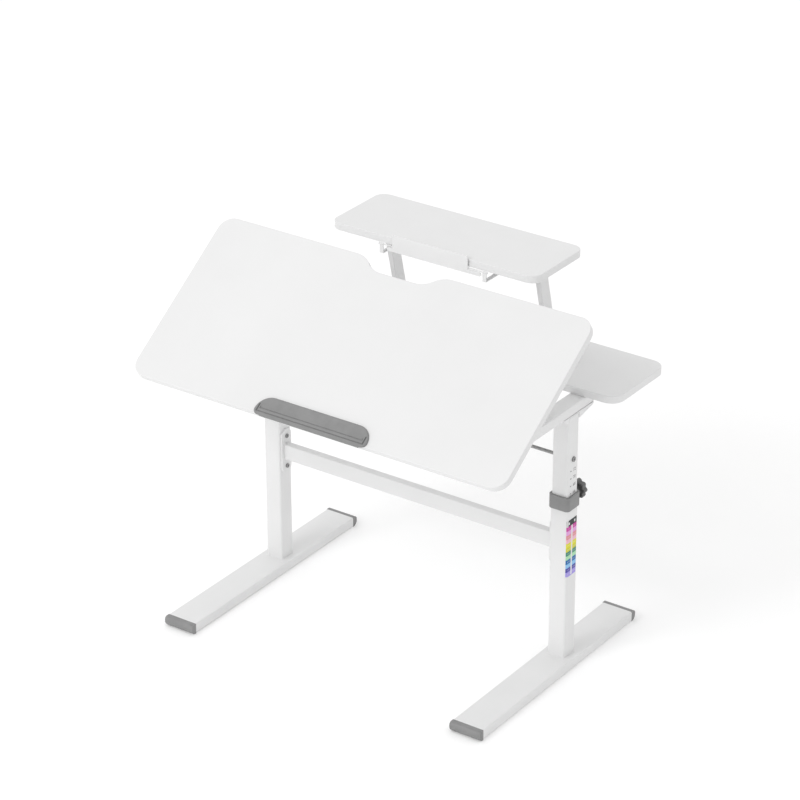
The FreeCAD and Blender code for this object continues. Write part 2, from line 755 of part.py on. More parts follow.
saddle_bolts = []
shelf_screws = []
arm_caps = []
for side, sign in SIDES:
    make_saddle(side, sign)
    make_arm(side, sign)
    make_arm_nose(side, sign)
    arm_caps.append(make_arm_cap(side, sign))
    for y in saddle_bolts_y:
        bolt = socket_screw(f"{side}_saddle_bolt", 5.25, 3.3, 3, 12)
        put(bolt, side_x * sign, post_y + y, saddle_top - saddle_thick, *DOWN)
        saddle_bolts.append(bolt)
    for y in shelf_screws_y:
        screw = socket_screw(f"{side}_shelf_screw", 4.5, 2.5, 2.5, 38)
        put(screw, side_x * sign, post_y + y, saddle_top, *DOWN)
        shelf_screws.append(screw)
group("saddle_bolts", saddle_bolts)
group("shelf_screws", shelf_screws)
group("arm_rear_caps", arm_caps)


# ------------------------------------------------------------------------- rear shelf and riser
board_thick = cell("board_thick")
board_edge = cell("board_edge")


def make_board(name, wide, deep, corner):
    """A rectangular board with rounded corners and softly rounded edges."""
    board = Piece(name)
    board.grow("XY_Plane", [rectangle(wide, deep)], board_thick)
    board.round(corner, along("z"))
    board.round(board_edge, level_with(0, board_thick))
    return board


shelf_bottom = cell("shelf_bottom")
shelf_top = shelf_bottom + board_thick
riser_bottom = cell("riser_bottom")
shelf = make_board("rear_shelf", cell("board_width"), cell("shelf_depth"), cell("shelf_corner"))
shelf.place(y=cell("shelf_y"), z=shelf_bottom)
riser = make_board("riser_shelf", cell("riser_width"), cell("riser_depth"), cell("riser_corner"))
riser.place(y=cell("riser_y"), z=riser_bottom)

leg_x = cell("leg_x")
leg_top_y = cell("leg_top_y")
leg_lean = cell("leg_lean")
leg_deep = cell("leg_deep")
leg_high = riser_bottom - shelf_top
flange_thick = 3
flange_screw = 15


def make_riser_leg(side, sign):
    """A flat tube that leans forward, with a screw flange at each end."""
    leg = Piece(f"{side}_riser_leg")
    outline = polygon((0, leg_high), (leg_lean, 0), (leg_lean + leg_deep, 0), (leg_deep, leg_high))
    leg.grow("YZ_Plane", [outline], cell("leg_wide"), both=True)
    leg.round(2, lambda edge, spot: abs(spot.z - leg_high.number / 2) < 0.1)
    for level, shift, back in ((0, leg_lean, False), (leg_high, as_size(0), True)):
        plate = rectangle(44, leg_deep, 0, shift + leg_deep / 2)
        leg.grow("XY_Plane", [plate], flange_thick, level=level, back=back)
        holes = [disc(2.3, flange_screw * way, shift + leg_deep / 2) for way in (-1, 1)]
        leg.cut("XY_Plane", holes, flange_thick + 0.1, level=level, back=not back)
    leg.place(x=leg_x * sign, y=leg_top_y, z=shelf_top)


riser_screws = []
for side, sign in SIDES:
    make_riser_leg(side, sign)
    for way in (-1, 1):
        x = leg_x * sign + flange_screw * way
        upper = socket_screw(f"{side}_riser_screw", 4, 2, 2.2, 15)
        put(upper, x, leg_top_y + leg_deep / 2, riser_bottom - flange_thick, *DOWN)
        lower = socket_screw(f"{side}_riser_screw", 4, 2, 2.2, 15)
        put(lower, x, leg_top_y + leg_lean + leg_deep / 2, shelf_top + flange_thick)
        riser_screws += [upper, lower]


# --------------------------------------------------------------------------------------- book lip
lip_y = cell("lip_y")
lip_z = cell("lip_z")
lip_rod = cell("lip_rod")
eye_gap = cell("eye_gap")
eye_shift = cell("eye_shift")
knuckle = 2.45
lip_back = 2.3


def make_book_lip():
    """A raised plate over a narrow strip, with three knuckles behind it for the hinge rod."""
    lip = Piece("book_lip")
    thick = cell("lip_thick")
    plate = rectangle(cell("lip_half") * 2, 42, 0, 10)
    strip = rectangle(cell("strip_half") * 2, 9.6, cell("strip_shift"), -6.2)
    lip.grow("XZ_Plane", [plate], thick, level=lip_back)
    lip.round(3, along("y"))
    lip.grow("XZ_Plane", [strip], thick, level=lip_back)
    lip.round(4.7, both_of(along("y"), lambda edge, spot: abs(spot.x) > 110))
    for x in (-85, 0, 85):
        lip.grow("YZ_Plane", [disc(knuckle)], 16, level=x, both=True)
        foot = rectangle(lip_back + 0.2, knuckle, -(lip_back + 0.2) / 2, -knuckle / 2)
        lip.grow("YZ_Plane", [foot], 16, level=x, both=True)
    lip.cut("YZ_Plane", [disc(lip_rod + 0.02)], 220, both=True)
    lip.place(y=lip_y, z=lip_z)


def make_lip_bracket(side, sign):
    """A strap stirrup that hangs from the riser board, with an eye for the lip's rod."""
    strap = 2
    drop = riser_bottom - lip_z
    bracket = Piece(f"{side}_lip_bracket")
    outline = polygon((-1, 0), (-1, -22.7), (58, -22.7), (58, drop - strap), (76, drop - strap),
                      (76, drop), (56, drop), (56, -20.7), (1, -20.7), (1, 0))
    bracket.grow("YZ_Plane", [outline], 10, both=True)
    bracket.grow("YZ_Plane", [disc(knuckle)], 10, both=True)
    bracket.cut("YZ_Plane", [disc(lip_rod + 0.06)], 20, both=True)
    bracket.cut("XY_Plane", [disc(2.3, 0, 67)], 10, both=True)
    bracket.place(x=eye_shift + eye_gap * sign, y=lip_y, z=lip_z)
    screw = socket_screw(f"{side}_riser_screw", 4, 2, 2.2, 13)
    return put(screw, eye_shift + eye_gap * sign, lip_y + 67, riser_bottom - strap, *DOWN)


make_book_lip()
for side, sign in SIDES:
    riser_screws.append(make_lip_bracket(side, sign))
group("riser_screws", riser_screws)
rod = turned("lip_rod", (2.3, -141.5, -139.5), (lip_rod, -139.5, 150.5), (2.3, 150.5, 152.5))
rod.Label = "lip_rod"
pieces["lip_rod"] = put(rod, 0, lip_y, lip_z, Vector(0, 1, 0), 90)


# --------------------------------------------------------------------------------------- tabletop
# Everything from here on lies in the tabletop's own frame: its origin is on the tilt axis, the
# board is parallel to XY, and the whole is then turned about the tilt axis.
top_lift = cell("top_lift")
top_front = cell("top_front")
top_rear = cell("top_depth") - top_front


def tilted(piece, x=0):
    piece.place(x=x, y=hinge_y, z=hinge_z, axis=X_AXIS, turn=tilt)


def make_tabletop():
    half = cell("board_width") / 2
    notch = cell("notch_half")
    inner = cell("notch_inner")
    bottom = top_rear - cell("notch_deep")
    board = Piece("tabletop")
    outline = polygon((-half, -top_front), (half, -top_front), (half, top_rear), (notch, top_rear),
                      (inner, bottom), (-inner, bottom), (-notch, top_rear), (-half, top_rear))
    board.grow("XY_Plane", [outline], board_thick, level=top_lift)
    board.round(cell("top_corner"), both_of(along("z"), lambda edge, spot: abs(spot.x) > 400))
    board.round(cell("notch_round"), both_of(along("z"), lambda edge, spot: abs(spot.x) < 400))
    board.round(board_edge, level_with(top_lift, top_lift + board_thick))
    tilted(board)


def make_ledge():
    """A soft rounded rest that wraps over the front edge, with two shallow grooves."""
    half = cell("ledge_half")
    deep = cell("ledge_deep")
    proud = cell("ledge_proud")
    level = top_lift + board_thick
    ledge = Piece("pencil_ledge")
    lid = rectangle(half * 2, deep + proud, 0, (deep - proud) / 2 - top_front)
    ledge.grow("XY_Plane", [lid], cell("ledge_rise"), level=level + 0.05)
    back = (deep - top_front).number
    ledge.round(38, both_of(along("z"), lambda edge, spot: spot.y > back - 1))
    ledge.round(9, both_of(along("z"), lambda edge, spot: spot.y < back - 1))
    apron = rectangle(half * 2 - 26, proud - 0.1, 0, -top_front - proud / 2 - 0.05)
    ledge.grow("XY_Plane", [apron], 7, level=level + 0.1, back=True)
    ledge.round(2.4, level_with(level + 0.05 + cell("ledge_rise")))
    tilted(ledge)


rail_screws_y = (20, 75, 130)
plate_screws_y = (-12, 32)


def make_hinge_rail(side, sign):
    """An inner angle: its web carries the hinge pin and the stay's pivot."""
    web = 2.5
    inner_face = side_x - arm_wide / 2 - 0.6
    rail = Piece(f"{side}_hinge_rail")
    start = -12
    middle = (stay_pitch + 12 + start) / 2
    long = stay_pitch + 12 - start
    lift = top_lift
    discs = [disc(11), disc(11, stay_pitch, 0)]
    rail.grow("YZ_Plane", [rectangle(long, lift, middle, lift / 2)], web, back=sign > 0)
    for ear in discs:
        rail.grow("YZ_Plane", [ear], web, back=sign > 0)
    flange = rectangle(22, long, sign * -11, middle)
    rail.grow("XY_Plane", [flange], 2, level=lift, back=True)
    rail.cut("YZ_Plane", [disc(cell("pin_round") + 0.05)], 10, both=True)
    rail.cut("YZ_Plane", [disc(stay_pin + 0.02, stay_pitch, 0)], 10, both=True)
    holes = [disc(2.1, -15 * sign, y) for y in rail_screws_y]
    rail.cut("XY_Plane", holes, 2.1, level=lift)
    tilted(rail, inner_face * sign)


def make_hinge_plate(side, sign):
    """A short outer angle that carries the other end of the hinge pin."""
    web = 2.5
    plate = Piece(f"{side}_hinge_plate")
    start = -20
    long = 60
    lift = top_lift
    outer_face = side_x + arm_wide / 2 + 0.6
    plate.grow("YZ_Plane", [rectangle(long, lift, start + long / 2, lift / 2)], web, back=sign < 0)
    plate.grow("YZ_Plane", [disc(11)], web, back=sign < 0)
    flange = rectangle(22, long, sign * 11, start + long / 2)
    plate.grow("XY_Plane", [flange], 2, level=lift, back=True)
    plate.cut("YZ_Plane", [disc(cell("pin_round") + 0.05)], 10, both=True)
    holes = [disc(2.1, 13.5 * sign, y) for y in plate_screws_y]
    plate.cut("XY_Plane", holes, 2.1, level=lift)
    tilted(plate, outer_face * sign)


def make_stay(side, sign):
    """A flat bar from the rail's pivot to the slot in the arm."""
    stay = Piece(f"{side}_stay")
    thick = 3
    shift = side_x - arm_wide / 2 - 3.6
    stay.grow("YZ_Plane", [rectangle(stay_pitch, 16, stay_pitch / 2, 0)], thick, back=sign > 0)
    for y in (0, stay_pitch):
        stay.grow("YZ_Plane", [disc(8, y, 0)], thick, back=sign > 0)
        stay.cut("YZ_Plane", [disc(stay_pin + 0.06, y, 0)], 10, both=True)
    stay.place(x=shift * sign, y=hinge_y + stay_pitch * cosine(tilt),
               z=hinge_z + stay_pitch * sine(tilt), axis=X_AXIS, turn=-tilt)


make_tabletop()
make_ledge()
hinge_pins = []
pivot_pins = []
rail_screws = []
ledge_screws = []
pin_round = cell("pin_round")
rail_web_in = side_x - arm_wide / 2 - 3.1
plate_web_out = side_x + arm_wide / 2 + 3.1
rail_middle = side_x - arm_wide / 2 - 0.6


def on_top(item, along_x, along_y, above):
    """Put a small part given in the tabletop's frame."""
    y = hinge_y + as_size(along_y) * cosine(tilt) - as_size(above) * sine(tilt)
    z = hinge_z + as_size(along_y) * sine(tilt) + as_size(above) * cosine(tilt)
    return put(item, along_x, y, z, X_AXIS, tilt + 180)


for side, sign in SIDES:
    make_hinge_rail(side, sign)
    make_hinge_plate(side, sign)
    make_stay(side, sign)
    pin = turned(f"{side}_hinge_pin", (6.5, rail_web_in - 2, rail_web_in),
                 (pin_round, rail_web_in, plate_web_out), (6.5, plate_web_out, plate_web_out + 2))
    hinge_pins.append(put(pin, 0, hinge_y, hinge_z, Vector(0, 1, 0), 90 * sign))
    pivot = turned(f"{side}_pivot_pin", (5.5, rail_web_in - 5.5, rail_web_in - 4),
                   (stay_pin, rail_web_in - 4, rail_web_in + 2.5))
    put(pivot, 0, hinge_y + stay_pitch * cosine(tilt), hinge_z + stay_pitch * sine(tilt),
        Vector(0, 1, 0), 90 * sign)
    pivot_pins.append(pivot)
    tip = turned(f"{side}_stay_tip_pin", (5.5, rail_web_in - 5, rail_web_in - 3.5),
                 (stay_pin, rail_web_in - 3.5, rail_web_in + 9),
                 (5.5, rail_web_in + 6, rail_web_in + 7.5))
    tip.Label = f"{side}_stay_tip_pin"
    put(tip, 0, hinge_y + stay_pitch * 2 * cosine(tilt), hinge_z, Vector(0, 1, 0), 90 * sign)
    pieces[tip.Label] = tip
    for y in rail_screws_y:
        screw = socket_screw(f"{side}_rail_screw", 4, 2, 2, 13)
        rail_screws.append(on_top(screw, (rail_middle - 15) * sign, y, top_lift - 2))
    for y in plate_screws_y:
        screw = socket_screw(f"{side}_plate_screw", 4, 2, 2, 13)
        rail_screws.append(on_top(screw, (plate_web_out + 11) * sign, y, top_lift - 2))
group("hinge_pins", hinge_pins)
group("stay_pivot_pins", pivot_pins)
group("rail_screws", rail_screws)
for x in (-100, 0, 100):
    screw = socket_screw("ledge_screw", 4, 2, 2, 20)
    ledge_screws.append(on_top(screw, x, 16 - top_front, top_lift))
group("ledge_screws", ledge_screws)


# ------------------------------------------------------------------------------- check and export
def check_and_export():
    doc.recompute()
    for item in doc.Objects:
        if "Invalid" in item.State or "Error" in item.State:
            raise ValueError(f"{item.Label}: {item.State}")
    for name, item in pieces.items():
        shape = item.Shape
        if shape.isNull() or not shape.isValid() or not shape.Solids:
            raise ValueError(f"{name}: no valid solid")
    os.makedirs("parts", exist_ok=True)
    for name, item in pieces.items():
        item.Shape.exportStep(f"parts/{name}.step")
    box = FreeCAD.BoundBox()
    for item in pieces.values():
        box.add(item.Shape.BoundBox)
    print(len(pieces), "nodes")
    print("box", [round(value, 2) for value in (box.XMin, box.YMin, box.ZMin)],
          [round(value, 2) for value in (box.XMax, box.YMax, box.ZMax)])


check_and_export()
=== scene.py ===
import json
import math

import bmesh
import bpy
from mathutils import Matrix, Vector


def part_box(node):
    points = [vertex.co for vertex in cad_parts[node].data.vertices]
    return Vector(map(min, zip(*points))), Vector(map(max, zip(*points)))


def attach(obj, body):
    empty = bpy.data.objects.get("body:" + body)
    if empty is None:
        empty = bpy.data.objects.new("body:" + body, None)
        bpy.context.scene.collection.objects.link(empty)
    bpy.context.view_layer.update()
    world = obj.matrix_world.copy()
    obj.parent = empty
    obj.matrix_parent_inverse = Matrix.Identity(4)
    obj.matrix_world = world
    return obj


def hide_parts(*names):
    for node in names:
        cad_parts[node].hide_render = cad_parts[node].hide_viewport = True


# Looks of the drawing desk. Blender's unit is the metre; sizes written in millimetres are
# multiplied by MM. Places come from the CAD frame.
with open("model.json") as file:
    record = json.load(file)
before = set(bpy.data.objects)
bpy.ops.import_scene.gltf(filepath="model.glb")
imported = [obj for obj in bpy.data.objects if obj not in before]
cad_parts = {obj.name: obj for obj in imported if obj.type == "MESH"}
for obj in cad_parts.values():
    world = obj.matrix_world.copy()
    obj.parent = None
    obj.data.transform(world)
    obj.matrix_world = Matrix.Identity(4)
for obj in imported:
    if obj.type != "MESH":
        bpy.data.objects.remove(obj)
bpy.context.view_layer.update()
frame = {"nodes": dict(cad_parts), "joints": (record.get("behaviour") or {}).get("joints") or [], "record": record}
MM = 0.001
SIDES = ("left", "right")


# ------------------------------------------------------------------------------ material helpers
class Surface:
    """A Principled material and the few node recipes that the materials share."""

    def __init__(self, name, metallic=0.0, coat=0.0):
        self.material = bpy.data.materials.new(name)
        self.material.use_nodes = True
        self.tree = self.material.node_tree
        self.shader = self.tree.nodes["Principled BSDF"]
        self.shader.inputs["Metallic"].default_value = metallic
        self.shader.inputs["Coat Weight"].default_value = coat
        self.place = self.add("ShaderNodeTexCoord").outputs["Object"]

    def add(self, kind, inputs=(), **settings):
        """A node with its settings; an input is a number or the socket that feeds it."""
        node = self.tree.nodes.new(kind)
        for key, value in settings.items():
            setattr(node, key, value)
        for key, value in dict(inputs).items():
            if isinstance(value, bpy.types.NodeSocket):
                self.tree.links.new(value, node.inputs[key])
            else:
                node.inputs[key].default_value = value
        return node

    def stretched(self, scale):
        """Object coordinates scaled unevenly, for brushed or streaked finishes."""
        return self.add("ShaderNodeMapping", {"Vector": self.place, "Scale": scale}).outputs[0]

    def noise(self, scale, detail=2.0, place=None):
        inputs = {"Vector": place or self.place, "Scale": scale, "Detail": detail}
        return self.add("ShaderNodeTexNoise", inputs).outputs["Fac"]

    def math(self, operation, first, second):
        return self.add("ShaderNodeMath", {0: first, 1: second}, operation=operation).outputs[0]

    def spread(self, source, low, high, out_low, out_high):
        inputs = {"Value": source, "From Min": low, "From Max": high,
                  "To Min": out_low, "To Max": out_high}
        return self.add("ShaderNodeMapRange", inputs).outputs[0]

    def mix(self, amount, first, second):
        node = self.add("ShaderNodeMix", data_type="RGBA")
        for index, value in ((0, amount), (6, first), (7, second)):
            if isinstance(value, bpy.types.NodeSocket):
                self.tree.links.new(value, node.inputs[index])
            else:
                node.inputs[index].default_value = value
        return node.outputs[2]

    def edges(self, width):
        """0 on flat faces, rising towards 1 along the edges: the mask for painted edge shade and highlight."""
        rounded = self.add("ShaderNodeBevel", {"Radius": width}, samples=4).outputs[0]
        plain = self.add("ShaderNodeNewGeometry").outputs["Normal"]
        dot = self.add("ShaderNodeVectorMath", {0: rounded, 1: plain}, operation="DOT_PRODUCT")
        return self.spread(dot.outputs["Value"], 0.99, 0.80, 0.0, 1.0)

    def color(self, socket):
        self.tree.links.new(socket, self.shader.inputs["Base Color"])

    def roughness(self, source, low, high):
        """Roughness that follows a noise between two values."""
        socket = self.spread(source, 0.35, 0.65, low, high)
        self.tree.links.new(socket, self.shader.inputs["Roughness"])

    def bump(self, height, depth):
        node = self.add("ShaderNodeBump", {"Height": height, "Distance": depth, "Strength": 1.0})
        self.tree.links.new(node.outputs[0], self.shader.inputs["Normal"])


def grey(level, warmth=0.0):
    """A grey, or one that leans a little to red (positive) or blue (negative)."""
    return (level * (1 + warmth), level, level * (1 - warmth), 1.0)


# ------------------------------------------------------------------------------------- materials
def laminate_material():
    """White melamine board: faint clouding, a fine pearl grain, and painted shade darkening the edges."""
    surface = Surface("white_laminate")
    clouds = surface.noise(5.0, 4.0)
    tone = surface.mix(surface.spread(clouds, 0.3, 0.7, 0, 1), grey(0.715), grey(0.735))
    speckle = surface.spread(surface.noise(2600.0, 1.0), 0.62, 0.72, 0.0, 0.10)
    tone = surface.mix(speckle, tone, grey(0.56))
    # Painted shade: a band along the edges, broken up by noise, is darkened in the colour.
    painted_edge_light_and_shade = surface.math("MULTIPLY", surface.edges(0.0016), surface.noise(60.0, 3.0))
    surface.color(surface.mix(surface.math("MULTIPLY", painted_edge_light_and_shade, 0.35), tone, grey(0.54, 0.01)))
    surface.roughness(surface.noise(18.0, 3.0), 0.36, 0.47)
    surface.bump(surface.noise(900.0, 2.0), 0.00006)
    return surface.material


def coat_material():
    """White powder coat: orange peel, and painted shade greying the edges."""
    surface = Surface("white_powder_coat")
    clouds = surface.noise(9.0, 3.0)
    tone = surface.mix(surface.spread(clouds, 0.3, 0.7, 0, 1), grey(0.73), grey(0.75))
    # Painted shade: a band along the edges, broken up by noise, is greyed in the colour.
    painted_edge_light_and_shade = surface.math("MULTIPLY", surface.edges(0.0012), surface.noise(120.0, 4.0))
    surface.color(surface.mix(surface.math("MULTIPLY", painted_edge_light_and_shade, 0.5), tone, grey(0.46)))
    surface.roughness(surface.noise(40.0, 3.0), 0.33, 0.45)
    surface.bump(surface.noise(420.0, 1.0), 0.00010)
    return surface.material


def moulded_material(name, level, rough, grain):
    """Moulded grey plastic or rubber with a spark-eroded grain and a painted highlight that makes the edges paler.
    """
    surface = Surface(name)
    clouds = surface.noise(30.0, 4.0)
    dark, pale = grey(level * 0.92), grey(level * 1.07)
    tone = surface.mix(surface.spread(clouds, 0.3, 0.7, 0, 1), dark, pale)
    # Painted highlight: a band along the edges, broken up by noise, is paled in the colour.
    painted_edge_light_and_shade = surface.math("MULTIPLY", surface.edges(0.0010), surface.noise(200.0, 4.0))
    surface.color(surface.mix(surface.math("MULTIPLY", painted_edge_light_and_shade, 0.6), tone, grey(level * 1.7)))
    surface.roughness(surface.noise(70.0, 3.0), rough, rough + 0.12)
    fine = surface.noise(2200.0, 2.0)
    coarse = surface.noise(900.0, 2.0)
    surface.bump(surface.math("ADD", fine, coarse), grain)
    return surface.material


def steel_material():
    """Zinc-plated steel: streaks along the drawing direction and mottled plating."""
    level = 0.30
    surface = Surface("zinc_steel", metallic=1.0)
    mottle = surface.noise(160.0, 4.0)
    streaks = surface.noise(900.0, 2.0, surface.stretched((0.06, 1.0, 1.0)))
    both = surface.math("ADD", surface.math("MULTIPLY", mottle, 0.6),
                        surface.math("MULTIPLY", streaks, 0.4))
    surface.color(surface.mix(surface.spread(both, 0.35, 0.65, 0, 1), grey(level * 0.8, -0.01),
                              grey(level * 1.2, 0.01)))
    surface.roughness(both, 0.28, 0.48)
    surface.bump(streaks, 0.00003)
    return surface.material


def label_material():
    """Matt white film under the printed bands."""
    surface = Surface("label_film", coat=0.1)
    fibres = surface.noise(700.0, 3.0)
    surface.color(surface.mix(fibres, grey(0.70), grey(0.76)))
    surface.roughness(surface.noise(90.0, 2.0), 0.30, 0.42)
    surface.bump(fibres, 0.00002)
    return surface.material


def ink_material():
    """Black printing ink, a little uneven."""
    surface = Surface("print_ink")
    surface.color(surface.mix(surface.noise(900.0, 3.0), grey(0.03), grey(0.09)))
    surface.roughness(surface.noise(300.0, 2.0), 0.4, 0.55)
    return surface.material


# Printed colours from the lowest band to the highest, ending with the dark header.
BANDS = ((0.36, 0.30, 0.74), (0.07, 0.06, 0.36), (0.24, 0.52, 0.82), (0.015, 0.14, 0.40),
         (0.38, 0.70, 0.42), (0.05, 0.24, 0.17), (0.62, 0.60, 0.03), (0.74, 0.70, 0.03),
         (0.82, 0.46, 0.56), (0.72, 0.27, 0.30), (0.74, 0.34, 0.68), (0.56, 0.04, 0.33))
HEADER = (0.025, 0.035, 0.035)


def band_material(low, step):
    """Colour bands stacked along Z, each with a fine print screen."""
    surface = Surface("chart_print")
    height = surface.add("ShaderNodeSeparateXYZ", {"Vector": surface.place}).outputs["Z"]
    count = len(BANDS) + 2
    position = surface.spread(height, low, low + step * count, 0.0, 1.0)
    ramp = surface.add("ShaderNodeValToRGB", {"Fac": position})
    ramp.color_ramp.interpolation = "CONSTANT"
    stops = ramp.color_ramp.elements
    for index, colour in enumerate(BANDS + (HEADER,)):
        stop = stops[index] if index < 2 else stops.new(index / count)
        stop.position = index / count
        stop.color = colour + (1.0,)
    screen = surface.spread(surface.noise(1800.0, 1.0), 0.45, 0.75, 0.0, 0.08)
    surface.color(surface.mix(screen, ramp.outputs["Color"], grey(0.75)))
    surface.roughness(surface.noise(120.0, 2.0), 0.45, 0.6)
    surface.shader.inputs["Specular IOR Level"].default_value = 0.2
    return surface.material


FINISHES = {
    "white_laminate": laminate_material(),
    "white_steel": coat_material(),
    "grey_plastic": moulded_material("grey_plastic", 0.235, 0.46, 0.00005),
    "grey_rubber": moulded_material("grey_rubber", 0.225, 0.56, 0.00004),
    "black_plastic": moulded_material("black_plastic", 0.035, 0.42, 0.00004),
    "zinc_steel": steel_material(),
    "printed_label": label_material(),
}
INK = ink_material()
# The knobs' plastic is the grey plastic at a darker level: painted shade on the knobs.
SHADED_KNOB_PLASTIC = moulded_material("knob_plastic_painted_shade", 0.125, 0.46, 0.00005)


def dress_cad_nodes():
    """Give every carried-over node the finish of its record slot."""
    for row in frame["record"]["subparts"]:
        node = frame["nodes"][row["node"]]
        node.data.materials.clear()
        node.data.materials.append(FINISHES[row["material_slot"]])


dress_cad_nodes()


# ------------------------------------------------------------------------------------ mesh helpers
def add_piece(name, mesh, body, slot, material=None, replaces=()):
    """Link a finished mesh as a piece of the model."""
    piece = bpy.data.objects.new(name, mesh)
    bpy.context.scene.collection.objects.link(piece)
    mesh.materials.append(material or FINISHES[slot])
    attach(piece, body)
    if replaces:
        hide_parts(*replaces)


def mesh_from(name, points, faces, smooth=True):
    """A mesh with doubled points merged and its faces turned outwards."""
    mesh = bpy.data.meshes.new(name)
    mesh.from_pydata(points, [], faces)
    mesh.update()
    work = bmesh.new()
    work.from_mesh(mesh)
    bmesh.ops.remove_doubles(work, verts=work.verts, dist=1e-6)
    bmesh.ops.recalc_face_normals(work, faces=work.faces)
    work.to_mesh(mesh)
    work.free()
    for polygon in mesh.polygons:
        polygon.use_smooth = smooth
    return mesh


def sharpen(mesh, angle):
    """Smooth shading with creases at corners sharper than the angle, in degrees."""
    mesh.set_sharp_from_angle(angle=math.radians(angle))


def skin_rings(name, rings):
    """A closed skin through rings that have the same number of points, with flat ends."""
    count = len(rings[0])
    points = [point for ring in rings for point in ring]
    faces = []
    for level in range(len(rings) - 1):
        for i in range(count):
            j = (i + 1) % count
            a, b = level * count, (level + 1) * count
            faces.append((a + i, a + j, b + j, b + i))
    faces.append(tuple(range(count)))
    last = (len(rings) - 1) * count
    faces.append(tuple(last + i for i in range(count)))
    return mesh_from(name, points, faces)


# ------------------------------------------------------------------------------------ clamp knobs
KNOB_LOBES = 9
KNOB_STEPS = 144
KNOB_DEPTH = 26.0 * MM
KNOB_CROWN = 1.2 * MM
LOBE_DEPTH = 0.15
LOBE_SHARPNESS = 1.3
# (radius, distance along the axis, how far the lobes reach into the ring), millimetres, from the
# hub's front face over the hollow underside and the rim to the crown.
KNOB_PROFILE = ((4.2, 0, 0), (8.6, 0, 0), (9.0, 0.5, 0), (9.0, 20, 0), (10.0, 21, 0), (17.5, 21, 0.3),
                (19.0, 19.5, 0.5), (20.4, 12.6, 0.7), (21.0, 12, 0.8), (23.6, 12, 1), (24.6, 12.5, 1),
                (25.0, 13.6, 1), (25.0, 23.0, 1), (24.6, 24.6, 1), (23.2, 25.7, 0.9),
                (19.5, 26.2, 0.5), (15.5, 26.3, 0), (14.6, 25.7, 0), (13.6, 25.7, 0),
                (12.8, 26.4, 0), (8.0, 27.0, 0), (3.0, 27.2, 0))


def knob_radius(radius, reach, angle):
    """The radius of a ring at an angle, cut back between the lobes."""
    scallop = 0.5 - 0.5 * math.cos(KNOB_LOBES * angle)
    return radius * (1 - LOBE_DEPTH * reach * scallop ** LOBE_SHARPNESS)


def make_knob(side):
    """A scalloped knob with a hollow underside, as deep as its CAD node plus a low crown."""
    node = f"{side}_clamp_knob"
    low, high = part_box(node)
    centre = (low + high) / 2
    stretch = (high.y - low.y) / KNOB_DEPTH
    rings = []
    for radius, along, reach in KNOB_PROFILE:
        y = min(low.y + along * MM * stretch, high.y + KNOB_CROWN)
        ring = []
        for step in range(KNOB_STEPS):
            angle = 2 * math.pi * step / KNOB_STEPS
            size = knob_radius(radius, reach, angle) * MM
            ring.append((centre.x + size * math.cos(angle), y, centre.z + size * math.sin(angle)))
        rings.append(ring)
    mesh = skin_rings(f"{side}_star_knob", rings)
    sharpen(mesh, 40)
    # The knob takes the darkened plastic, which paints shade on it.
    add_piece(f"{side}_star_knob", mesh, f"{side}_knob", "grey_plastic", SHADED_KNOB_PLASTIC, [node])


for side in SIDES:
    make_knob(side)


# ------------------------------------------------------------------------------------ pencil ledge
# The board's tilt at rest, and the hinge axis it turns about.
TILT = math.radians(34.9)
HINGE = Vector(next(joint["pos_m"] for joint in frame["joints"] if joint["name"] == "top_tilt"))
# The tabletop's upper face above the hinge axis, and its front edge before it, square to the board.
TOP_LEVEL = 30.5 * MM
TOP_FRONT = -40.7 * MM


def on_board(x, s, rise):
    """A place given across the board, up its slope from the front edge, and above its top."""
    along, above = TOP_FRONT + s, TOP_LEVEL + rise
    return (x, HINGE.y + along * math.cos(TILT) - above * math.sin(TILT),
            HINGE.z + along * math.sin(TILT) + above * math.cos(TILT))


# Millimetres. S runs up the board's slope from its front edge; heights are above its upper face.
LEDGE_HALF = 151.0
LEDGE_FRONT = -4.6
LEDGE_REAR = 45.0
LEDGE_REAR_ROUND = 38.0
LEDGE_FRONT_ROUND = 13.0
LEDGE_RISE = 5.0
RIM = 3.2
RIM_FOOT = 1.2
TRAY_S = 12.0
TRAY_END_S = 16.0
TRAY_X = 137.0
TRAY_DISH = 0.7
DISH_INSET = 6.0
LINE_S = 3.6
SLOT_X = 142.5
SLOT_END_S = 21.0
# (half width, depth) of the grooves
TRAY_GROOVE = (1.7, 2.2)
LINE_GROOVE = (1.5, 2.2)
SLOT_GROOVE = (2.0, 3.4)
APRON = 5.0
APRON_HALF = 135.0
LEDGE_ROWS = 96
LEDGE_COARSE_STEP = 2.0
LEDGE_FINE_STEP = 0.9
LEDGE_FINE_FROM = 112.0
LEDGE_TIP = LEDGE_HALF - 0.15


def ledge_limits(x):
    """Front and rear edge of the ledge outline at one place across."""
    inset = abs(x) - (LEDGE_HALF - LEDGE_REAR_ROUND)
    rear = LEDGE_REAR
    if inset > 0:
        rear -= LEDGE_REAR_ROUND - math.sqrt(max(LEDGE_REAR_ROUND ** 2 - inset ** 2, 0))
    inset = abs(x) - (LEDGE_HALF - LEDGE_FRONT_ROUND)
    front = LEDGE_FRONT
    if inset > 0:
        front += LEDGE_FRONT_ROUND - math.sqrt(max(LEDGE_FRONT_ROUND ** 2 - inset ** 2, 0))
    return front, rear


def edge_distance(x, s):
    """How far inside the outline a point lies."""
    front, rear = LEDGE_FRONT, LEDGE_REAR
    best = min(s - front, rear - s, LEDGE_HALF - abs(x))
    for radius, edge, side in ((LEDGE_REAR_ROUND, rear, 1), (LEDGE_FRONT_ROUND, front, -1)):
        across = abs(x) - (LEDGE_HALF - radius)
        along = (s - (edge - side * radius)) * side
        if across > 0 and along > 0:
            best = min(best, radius - math.hypot(across, along))
    return max(best, 0.0)


